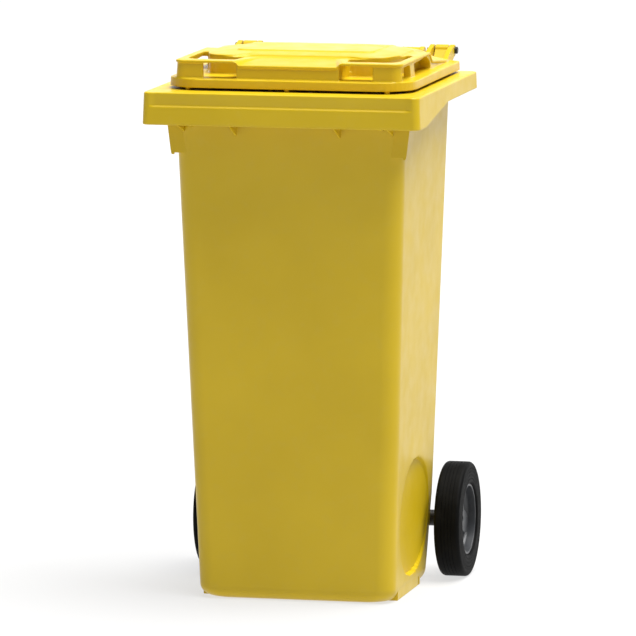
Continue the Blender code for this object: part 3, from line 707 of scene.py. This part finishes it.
def make_axle_plates():
    """The cheeks, rings and middle lugs that hold the axle under the rear wall."""
    plates = bmesh.new()
    centre = (back(AXLE_BACK), AXLE_Z)
    cheek = (
        (0.4055, 0.152, 0),
        (0.3835, 0.054, 0),
        (0.450, 0.060),
        (0.460, 0.070),
        (0.460, 0.130),
        (0.440, 0.152),
    )
    lug_front, lug_radius = 0.390, 0.021
    lug = [(lug_front, AXLE_Z - lug_radius), (lug_front, AXLE_Z + lug_radius)]
    for step in range(25):
        angle = math.radians(90 - 180 * step / 24)
        lug.append((AXLE_BACK + lug_radius * math.cos(angle), AXLE_Z + lug_radius * math.sin(angle)))
    for side in SIDES.values():
        points = [(back(y), z) for y, z in fillet(cheek, 0.004)]
        add_prism(plates, points, "X", *both(side, 0.1457, 0.158), 0.0008)
        add_prism(plates, circle(0.017, centre), "X", *both(side, 0.150, 0.1610), 0.0006)
        add_prism(plates, [(back(y), z) for y, z in lug], "X", *both(side, 0.046, 0.054), 0.001)
    plates_piece = helper("bin_axle_plates", plates)
    bore = prism_helper("plate_bore", circle(AXLE_BORE, centre), "X", *PAST_SIDES)
    combine(plates_piece, "DIFFERENCE", [bore], True)
    dress(plates_piece, "bin", "yellow_plastic", ["body"])


def make_handles():
    """Two push bars with their brackets, and the hinge posts outside them."""
    bars, posts = bmesh.new(), bmesh.new()
    centre = (back(HINGE_BACK), HINGE_Z - HANDLE_DROP)
    hinge = (back(HINGE_BACK), HINGE_Z)
    ribs, spacing = 9, 0.075
    for side in SIDES.values():
        low, high = both(side, HANDLE_POSTS[0][0] + 0.002, HANDLE_POSTS[1][1] - 0.002)
        sections = []
        for step in range(41):
            part = step / 40
            ends = max(smooth((0.10 - part) / 0.10), smooth((part - 0.90) / 0.10))
            radius = HANDLE_RADIUS - 0.0004 + 0.0004 * ends
            x = mix(low, high, part)
            sections.append([(x, y, z) for y, z in circle(radius, centre, 48)])
        add_rings(bars, sections)
        for rib in range(ribs):
            x = mix(low, high, 0.5 + (rib - ribs // 2) * spacing)
            add_prism(bars, circle(HANDLE_RADIUS, centre, 48), "X", x - 0.0008, x + 0.0008, 0.0005, 2)
        for span in HANDLE_POSTS:
            ring = HANDLE_RADIUS + 0.001
            add_prism(posts, hinge_neck(ring, centre), "X", *both(side, *span), 0.0008)
            add_prism(posts, circle(ring, centre, 48), "X", *both(side, *span), 0.0012)
        low, high = both(side, *HINGE_POST)
        add_prism(posts, hinge_neck(LUG_RADIUS, hinge), "X", low, high, 0.0008)
        add_prism(posts, circle(LUG_RADIUS, hinge, 48), "X", low, high, 0.0008)
    make_piece("bin_handles", bars, "bin", "yellow_plastic", ["body"])
    posts_piece = helper("bin_brackets", posts)
    bores = [
        prism_helper("post_bore_" + name, circle(PIN_BORE, hinge, 32), "X", *both(side, 0.145, 0.2))
        for name, side in SIDES.items()
    ]
    combine(posts_piece, "DIFFERENCE", bores, True)
    dress(posts_piece, "bin", "yellow_plastic", ["body"])


# ---------------------------------------------------------------- lid

LID_FRONT_STEPS, LID_SIDE_STEPS, LID_REAR_STEPS, LID_ARC_STEPS = 72, 48, 24, 10

# Half width, front, rear, front corner, rear corner and, for the dome, its middle's set-back
FLANGE = (0.2135, 0.047, 0.476, 0.060, 0.020)
WALL_FOOT = (0.199, 0.0555, 0.464, 0.020, 0.020)
PLATE = (0.197, 0.057, 0.462, 0.018, 0.020)
DOME = (0.1675, 0.1305, 0.448, 0.034, 0.030, 0.0145)
PANEL = (0.121, 0.188, 0.430, 0.016, 0.016)
CREST = (0.060, 0.250, 0.380, 0.010, 0.010)
CREST_MIDDLE = (0.004, 0.311, 0.319, 0.001, 0.001)
DOME_CORNER = ((0.120, 0.130), (0.145, 0.136), (0.156, 0.146), (0.162, 0.165), (0.166, 0.183))
DOME_NOTCH, NOTCH_SLOPE = 0.113, 0.028
LIP_DIP, LIP_HALF_WIDTH = 0.007, 0.0925
REAR_DROP = 0.0265
SHOULDER_DROP, SHOULDER_SLOPE = 0.0155, 0.011
PLATE_OVERHANG = 0.0024
VOXEL, QUICK_VOXEL = 0.0010, 0.0018
GRIP_REAR = 0.214
GRIP_INNER = 0.0885
PILLAR_INNER = 0.147
PILLAR_REAR = 0.070
POST_INNER = 0.184


def lid_ring(half_width, front, rear, front_radius, rear_radius, set_back=0.0):
    front_x, rear_x = half_width - front_radius, half_width - rear_radius
    front_y, rear_y = front + front_radius, rear - rear_radius
    ring = []
    for step in range(1, LID_FRONT_STEPS):
        x = mix(-front_x, front_x, step / LID_FRONT_STEPS)
        ring.append((x, front + set_back * smooth((DOME_NOTCH - abs(x)) / NOTCH_SLOPE)))

    def add_arc(x, y, radius, start):
        for step in range(LID_ARC_STEPS + 1):
            angle = math.radians(start + 90 * step / LID_ARC_STEPS)
            ring.append((x + radius * math.cos(angle), y + radius * math.sin(angle)))

    add_arc(front_x, front_y, front_radius, -90)
    ring += [(half_width, mix(front_y, rear_y, s / LID_SIDE_STEPS)) for s in range(1, LID_SIDE_STEPS)]
    add_arc(rear_x, rear_y, rear_radius, 0)
    ring += [(mix(rear_x, -rear_x, s / LID_REAR_STEPS), rear) for s in range(1, LID_REAR_STEPS)]
    add_arc(-rear_x, rear_y, rear_radius, 90)
    ring += [(-half_width, mix(rear_y, front_y, s / LID_SIDE_STEPS)) for s in range(1, LID_SIDE_STEPS)]
    add_arc(-front_x, front_y, front_radius, 180)
    return ring


def lid_height(x, depth, z):
    """Slopes the lid's top down to the rear and dips its front lip between the grips."""
    dip = LIP_DIP * smooth((LIP_HALF_WIDTH - abs(x)) / 0.008) * min(1, max(0, (0.145 - depth) / 0.085))
    drop = min(REAR_DROP, 0.0215 * max(0, (depth - 0.300) / 0.130) ** 2)
    run = min(1, max(0, (depth - 0.312) / 0.128))
    shoulder = SHOULDER_DROP * smooth((depth - 0.288) / 0.024) + SHOULDER_SLOPE * run
    drop += max(0, shoulder - drop) * smooth((abs(x) - 0.160) / 0.025)
    return z - drop - dip


def lid_section(values, z, shaped=True, inset=0.0, lower=0.0):
    half_width, front, rear, front_radius, rear_radius, *set_back = values
    radii = max(front_radius - inset, 0.001), max(rear_radius - inset, 0.001)
    ring = lid_ring(half_width - inset, front + inset, rear - inset, *radii, *set_back)
    if not shaped:
        return [(x, back(y), z - lower) for x, y in ring]
    return [(x, back(y), lid_height(x, y, z) - lower) for x, y in ring]


def between(first, second, part):
    """A section part of the way from one to another."""
    return [tuple(mix(a, b, part) for a, b in zip(p, q)) for p, q in zip(first, second)]


def lid_solid(name, inset, lower):
    """The lid's outside or, with an inset, its hollow, which runs out through the bottom."""
    bottom = LID_BOTTOM if not inset else LID_BOTTOM - 0.02
    sections = [
        lid_section(FLANGE, bottom, False, inset),
        lid_section(FLANGE, FLANGE_TOP, False, inset + 0.0008, lower),
        lid_section(WALL_FOOT, FLANGE_TOP + 0.001, False, inset + PLATE_OVERHANG, lower),
        lid_section(PLATE, PLATE_TOP - 0.0047, True, inset + PLATE_OVERHANG, lower),
        lid_section(PLATE, PLATE_TOP - 0.0043, True, inset, lower),
        lid_section(PLATE, PLATE_TOP - 0.001, True, inset, lower),
        lid_section(PLATE, PLATE_TOP, True, inset + 0.001, lower),
    ]
    foot = lid_section(DOME, PLATE_TOP + 0.0004, True, inset, lower)
    sections += [between(sections[-1], foot, part) for part in (0.25, 0.5, 0.75)] + [foot]
    shoulder = lid_section(DOME, PLATE_TOP + 0.0032, True, inset + 0.001, lower)
    sections.append(shoulder)
    panel = lid_section(PANEL, PLATE_TOP + 0.0062, True, inset, lower)
    for part in (0.25, 0.5, 0.75):
        bulge = 0.0006 * math.sin(math.pi * part)
        sections.append([(x, y, z + bulge) for x, y, z in between(shoulder, panel, part)])
    sections.append(panel)
    for part in (0.0, 0.2, 0.4, 0.6, 0.8):
        values = [mix(a, b, part) for a, b in zip(PANEL, CREST)]
        height, narrow = mix(0.0082, 0.0088, part), mix(inset + 0.0015, 0.0, part)
        sections.append(lid_section(values, PLATE_TOP + height, True, narrow, lower))
    for part in (0.0, 0.25, 0.5, 0.75):
        values = [mix(a, b, part) for a, b in zip(CREST, CREST_MIDDLE)]
        sections.append(lid_section(values, PLATE_TOP + 0.0088, True, 0.0, lower))
    mesh_builder = bmesh.new()
    add_rings(mesh_builder, sections, fanned=True)
    return helper(name, mesh_builder)


def lid_cutters(side):
    """The grip recess round a front corner, its side openings and the L-shaped slot."""

    def cutter(name, points, low, high, radius):
        shape = [(side * x, back(y)) for x, y in fillet(points, radius)]
        return prism_helper(f"{name}_{side}", shape, "Z", low, high)

    inner = [(x, y, 0.008) for x, y in DOME_CORNER]
    recess_shape = (
        (GRIP_INNER, 0.040, 0),
        (GRIP_INNER, 0.130, 0.014),
        *inner,
        (0.171, GRIP_REAR, 0.002),
        (POST_INNER, GRIP_REAR, 0.002),
        (POST_INNER, PILLAR_REAR, 0.001),
        (PILLAR_INNER, PILLAR_REAR, 0.006),
        (PILLAR_INNER, 0.040, 0),
    )
    yield cutter("grip", recess_shape, FLANGE_TOP + 0.0015, PLATE_TOP - 0.0043, 0.003)
    outer = ((0.097, 0.0845, 0.006), (0.165, 0.0845, 0.012), (0.178, 0.092, 0.008), (0.1835, 0.105, 0.006))
    shifted = [(x + 0.0004, y - 0.0006, 0.008) for x, y in reversed(DOME_CORNER)]
    ends = (0.1835, 0.2135, 0.003), (0.1715, 0.2135, 0.002)
    slot_shape = (*outer, *ends, *shifted, (GRIP_INNER + 0.0025, 0.1294, 0.003))
    yield cutter("slot", slot_shape, FLANGE_TOP + 0.01, PLATE_TOP + 0.02, 0.004)
    front_opening = ((0.0705, 0.0013), (0.135, 0.0013), (0.135, 0.0235), (0.0705, 0.0235))
    rear_opening = (
        (0.167, 0.0013),
        (0.296, 0.0013),
        (0.296, 0.014, 0.006),
        (0.280, 0.023, 0.010),
        (0.258, 0.0262, 0.014),
        (0.225, 0.0237, 0.012),
        (0.167, 0.0225),
    )
    for index, (start, shape) in enumerate(((0.165, front_opening), (0.1757, rear_opening))):
        points = [(back(y), FLANGE_TOP + z) for y, z in fillet(shape, 0.004)]
        yield prism_helper(f"opening_{side}_{index}", points, "X", *both(side, start, 0.215))


def grip_block(side):
    """Keeps the hollow one wall away from the grips. The corner pillars stay solid."""
    inner = [(x - LID_WALL, y + LID_WALL) for x, y in DOME_CORNER]
    start = (GRIP_INNER - LID_WALL, 0.035), (GRIP_INNER - LID_WALL, 0.130 + LID_WALL)
    rear = (0.1727, 0.232), (0.1727, 0.296 + LID_WALL), (0.225, 0.296 + LID_WALL), (0.225, 0.035)
    points = [(side * x, back(y)) for x, y in (*start, *inner, *rear)]
    return prism_helper(f"block_{side}", points, "Z", FLANGE_TOP + 0.0013 - LID_WALL, PLATE_TOP + 0.01)


def make_lid():
    """The lid as one soft-edged moulding, remeshed from its cut solid."""
    lid = lid_solid("lid_shell", 0.0, 0.0)
    hollow = lid_solid("lid_hollow", LID_WALL, LID_WALL)
    combine(hollow, "DIFFERENCE", [grip_block(side) for side in SIDES.values()])
    cutters = [cutter for side in SIDES.values() for cutter in lid_cutters(side)]
    combine(lid, "DIFFERENCE", cutters + [hollow])
    remesh = lid.modifiers.new("remesh", "REMESH")
    remesh.mode = "VOXEL"
    remesh.voxel_size = VOXEL
    relax = lid.modifiers.new("relax", "SMOOTH")
    relax.factor = 0.5
    relax.iterations = 2
    apply_modifiers(lid)
    thin = lid.modifiers.new("thin", "DECIMATE")
    thin.ratio = 0.3
    apply_modifiers(lid)
    dress(lid, "lid", "yellow_plastic", ["lid"], crease=0)


def make_hinge_arms():
    """The lid's four arms, an outer and an inner one at each hinge pin."""
    arm = (
        (0.0, LUG_RADIUS, 0),
        (-0.030, 0.004, 0.008),
        (-0.050, -0.004, 0.008),
        (-0.066, -0.0115, 0),
        (-0.066, -0.0215, 0),
        (-0.036, -0.0215, 0.006),
        (0.0, -LUG_RADIUS, 0),
    )
    centre = (back(HINGE_BACK), HINGE_Z)
    points = [(centre[0] + y, centre[1] + z) for y, z in fillet(arm, 0.004)]
    lugs = bmesh.new()
    for side in SIDES.values():
        for span in (OUTER_LUG, INNER_LUG):
            add_prism(lugs, points, "X", *both(side, *span), 0.0007, 2)
            add_prism(lugs, circle(LUG_RADIUS, centre, 48), "X", *both(side, *span), 0.0007, 2)
    arms = helper("lid_hinge_arms", lugs)
    bores = [
        prism_helper("arm_bore_" + name, circle(PIN_BORE, centre, 32), "X", *both(side, 0.14, 0.2))
        for name, side in SIDES.items()
    ]
    combine(arms, "DIFFERENCE", bores, True)
    dress(arms, "lid", "yellow_plastic", ["lid"])


# ---------------------------------------------------------------- wheels


def make_tyre(name, side):
    """A solid tyre: round shoulders, with fine turned grooves in its flanks and tread."""
    seat = HUB_RADIUS + 0.0003
    half = (WHEEL_OUTER - WHEEL_INNER) / 2
    middle = (WHEEL_OUTER + WHEEL_INNER) / 2
    shoulder = 0.0065

    def flank(direction):
        """From the seat to the tread: a lip, four fine grooves and the round shoulder."""
        edge = middle + direction * half
        points = [(seat, edge - direction * 0.005), (seat + 0.0015, edge - direction * 0.0015)]
        points += [(seat + 0.004, edge), (seat + 0.0065, edge)]
        for groove in (seat + 0.0085, seat + 0.0150, seat + 0.0215, seat + 0.0265):
            points += [
                (groove - 0.0007, edge),
                (groove - 0.0003, edge - direction * 0.0008),
                (groove + 0.0003, edge - direction * 0.0008),
                (groove + 0.0007, edge),
            ]
        for step in range(7):
            angle = math.radians(90 * step / 6)
            radius = WHEEL_RADIUS - shoulder + shoulder * math.sin(angle)
            points.append((radius, edge - direction * shoulder * (1 - math.cos(angle))))
        return points

    tread = []
    for groove in (-0.009, -0.003, 0.003, 0.009):
        for offset, deep in ((-0.0007, 0.0), (-0.0003, 0.0007), (0.0003, 0.0007), (0.0007, 0.0)):
            tread.append((WHEEL_RADIUS - deep, middle + groove + offset))
    profile = flank(-1) + tread + list(reversed(flank(1)))
    mesh_builder = bmesh.new()
    add_turned(mesh_builder, profile, 144, side)
    piece = "tyre_" + name
    make_piece(piece + "_moulded", mesh_builder, "wheel_" + name, "tyre_rubber", [piece], 50)


def lobed_plate(side, foot, top):
    """The three-lobed plate on a hub's face, with a round hole for the boss."""
    centre = (back(AXLE_BACK), AXLE_Z)
    outline = []
    for step in range(120):
        angle = 2 * math.pi * (step + 0.5) / 120
        radius = 0.037 + 0.015 * math.cos(3 * (angle - math.radians(100)))
        outline.append((centre[0] + radius * math.cos(angle), centre[1] + radius * math.sin(angle)))
    low, high = both(side, foot, top)
    lobes = bmesh.new()
    add_prism(lobes, outline, "X", low, high)
    caps = [face for face in lobes.faces if len(face.verts) > 4]
    outer_cap = max(caps, key=lambda face: side * face.calc_center_median().x)
    edges = list(outer_cap.edges)
    bmesh.ops.bevel(lobes, geom=edges, offset=0.0012, segments=3, profile=0.5, affect="EDGES")
    plate = helper("lobes", lobes)
    hole = prism_helper("lobe_hole", circle(0.016, centre, 64, 0.5), "X", low - 0.01, high + 0.01)
    combine(plate, "DIFFERENCE", [hole])
    return plate


def make_hub(name, side):
    """A dished hub with a rim ring, a tower for the lock pin and a three-lobed raised plate."""
    rim_inner, rim_outer = WHEEL_INNER + 0.003, WHEEL_OUTER - 0.003
    barrel = HUB_RADIUS - 0.004
    web_inner, web_outer = 0.208, 0.213
    boss, cap = 0.0175, 0.224
    plate_top, centre_hole = 0.2225, 0.0045
    profile = fillet(
        (
            (HUB_RADIUS, rim_outer, 0.0012),
            (HUB_RADIUS, rim_inner, 0.0012),
            (barrel, rim_inner, 0.0012),
            (barrel, web_inner, 0.003),
            (boss, web_inner, 0.003),
            (boss, WHEEL_INNER + 0.0005, 0.001),
            (AXLE_BORE, WHEEL_INNER + 0.0005, 0.0006),
            (AXLE_BORE, cap - 0.004, 0),
            (centre_hole, cap - 0.004, 0),
            (centre_hole, cap, 0.0008),
            (boss - 0.0035, cap, 0.002),
            (boss, web_outer + 0.002, 0.002),
            (boss + 0.002, web_outer, 0),
            (barrel - 0.006, web_outer, 0.004),
            (barrel, web_outer + 0.006, 0.004),
            (barrel, rim_outer, 0.0010),
        ),
        0.001,
    )
    mesh_builder = bmesh.new()
    add_turned(mesh_builder, profile, 96, side)
    hub = helper(f"wheel_hub_{name}_moulded", mesh_builder)

    centre = (side * LOCK_OUT, back(AXLE_BACK))
    tower = prism_helper("tower", circle(0.0058, centre, 32), "Z", AXLE_Z + 0.0165, AXLE_Z + 0.050)
    combine(hub, "UNION", [tower])
    pin_bore = prism_helper("pin_bore", circle(0.0033, centre, 24), "Z", AXLE_Z + 0.005, AXLE_Z + 0.055)
    combine(hub, "DIFFERENCE", [pin_bore])
    combine(hub, "UNION", [lobed_plate(side, web_outer - 0.001, plate_top)])
    dress(hub, "wheel_" + name, "hub_plastic", ["wheel_hub_" + name], 34)


def make_spring(name):
    """The coil spring behind a lock pin, wound as one fixed coil that fills the spring node's box."""
    low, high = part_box("lock_spring_" + name)
    wire, turns, steps = 0.0004, 6, 24
    radius = (high.y - low.y) / 2 - wire
    middle_x, middle_y = (low.x + high.x) / 2, (low.y + high.y) / 2
    bottom, top = low.z + wire, high.z - wire
    rise = (top - bottom) / (turns * 2 * math.pi)
    sections = []
    for step in range(turns * steps + 1):
        angle = 2 * math.pi * step / steps
        out = Vector((math.cos(angle), math.sin(angle), 0))
        along = Vector((-radius * math.sin(angle), radius * math.cos(angle), rise)).normalized()
        centre = Vector((middle_x, middle_y, bottom + rise * angle)) + out * radius
        across = along.cross(out)
        sections.append([centre + out * a + across * b for a, b in circle(wire, steps=12)])
    mesh_builder = bmesh.new()
    add_rings(mesh_builder, sections)
    node = "lock_spring_" + name
    spring = make_piece(node + "_wound", mesh_builder, "wheel_" + name, "zinc_steel", [node], 60)
    apply_modifiers(spring)
    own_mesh(spring)


# ---------------------------------------------------------------- carried-over nodes

# The start of a node's name and its material slot: the first line that fits counts
NODE_SLOTS = (
    ("tyre", "tyre_rubber"),
    ("wheel_hub", "hub_plastic"),
    ("hinge_pin", "black_plastic"),
    ("axle_spacer", "black_plastic"),
    ("lock_plug", "black_plastic"),
    ("lock", "zinc_steel"),
    ("axle", "zinc_steel"),
    ("", "yellow_plastic"),
)


def repaint_nodes():
    """The nodes that are shown as they are keep their shape and take the finer materials."""
    for name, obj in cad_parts.items():
        slot_name = next(slot for start, slot in NODE_SLOTS if name.startswith(start))
        obj.data.materials.clear()
        obj.data.materials.append(MATERIALS[slot_name])


# ---------------------------------------------------------------- studio

# A glowing floor keeps the shadow under the bin pale and lights the bin from below.
FLOOR_TONE, FLOOR_GLOW = 0.20, 0.66
ROOM_STRENGTH = 0.12
KEY_STRENGTH = 6.1
KEY_DIRECTION = (92, 75)
BACKDROP_POWER = 190.0
BACKDROP_DIRECTION = (186, 12)
LIGHT_DISTANCE = 8.0
LIGHT_AIM = (0, 0, 0.5)
CAMERA_DIRECTION = (12.874, 7.406)
CAMERA_DISTANCE = 13.0
CAMERA_AIM = (0.0081, -0.0170, 0.4700)
CAMERA_LENS = 428.3


def towards(direction, distance):
    """A step towards a direction: degrees from the front to the right, and degrees up."""
    azimuth, elevation = (math.radians(angle) for angle in direction)
    level = distance * math.cos(elevation)
    return Vector((level * math.sin(azimuth), -level * math.cos(azimuth), distance * math.sin(elevation)))


def make_camera():
    """The viewing angle: a long lens, a little to the right of the front and from above."""
    aim = Vector(CAMERA_AIM)
    camera_data = bpy.data.cameras.new("camera")
    camera_data.lens = CAMERA_LENS
    camera_data.sensor_width = 36.0
    camera_data.clip_end = 200.0
    camera = bpy.data.objects.new("camera", camera_data)
    bpy.context.scene.collection.objects.link(camera)
    camera.location = aim + towards(CAMERA_DIRECTION, CAMERA_DISTANCE)
    camera.rotation_euler = (aim - camera.location).to_track_quat("-Z", "Y").to_euler()
    bpy.context.scene.camera = camera


def make_floor():
    """A wide pale disc under the bin."""
    mesh_builder = bmesh.new()
    bmesh.ops.create_circle(mesh_builder, cap_ends=True, radius=60.0, segments=96)
    mesh = bpy.data.meshes.new("floor")
    mesh_builder.to_mesh(mesh)
    mesh_builder.free()
    floor = bpy.data.objects.new("floor", mesh)
    floor.location.z = -0.0002
    material = bpy.data.materials.new("floor_white")
    material.use_nodes = True
    shader = material.node_tree.nodes["Principled BSDF"]
    shader.inputs["Base Color"].default_value = (FLOOR_TONE, FLOOR_TONE, FLOOR_TONE, 1.0)
    shader.inputs["Emission Color"].default_value = (1.0, 1.0, 1.0, 1.0)
    shader.inputs["Emission Strength"].default_value = FLOOR_GLOW
    shader.inputs["Roughness"].default_value = 0.9
    shader.inputs["Specular IOR Level"].default_value = 0.1
    mesh.materials.append(material)
    bpy.context.scene.collection.objects.link(floor)


def add_light(kind, name, energy, direction, **settings):
    """A light that shines on the bin from a direction."""
    data = bpy.data.lights.new(name, kind)
    data.energy = energy
    for key, value in settings.items():
        setattr(data, key, value)
    light = bpy.data.objects.new(name, data)
    bpy.context.scene.collection.objects.link(light)
    source = towards(direction, 1.0)
    light.location = source * LIGHT_DISTANCE + Vector(LIGHT_AIM)
    light.rotation_euler = (-source).to_track_quat("-Z", "Y").to_euler()
    return light


def make_studio():
    """Soft light from above on the right, a panel behind and a pale room all round."""
    bpy.context.scene.view_settings.view_transform = "Standard"
    world = bpy.data.worlds.new("room")
    bpy.context.scene.world = world
    world.use_nodes = True
    room = world.node_tree.nodes["Background"]
    room.inputs["Color"].default_value = (1.0, 1.0, 1.0, 1.0)
    room.inputs["Strength"].default_value = ROOM_STRENGTH
    add_light("SUN", "key", KEY_STRENGTH, KEY_DIRECTION, angle=math.radians(48))

    # A wide panel behind the bin, near the horizon, that its upper faces reflect.
    panel = {"shape": "RECTANGLE", "size": 14.0, "size_y": 3.0}
    backdrop = add_light("AREA", "backdrop", BACKDROP_POWER, BACKDROP_DIRECTION, **panel)
    backdrop.visible_camera = False


make_camera()
make_floor()
make_studio()
repaint_nodes()
make_body_shell()
make_comb_wings()
make_feet()
make_axle_plates()
make_handles()
make_lid()
make_hinge_arms()
for wheel_name, wheel_side in SIDES.items():
    make_tyre(wheel_name, wheel_side)
    make_hub(wheel_name, wheel_side)
    make_spring(wheel_name)
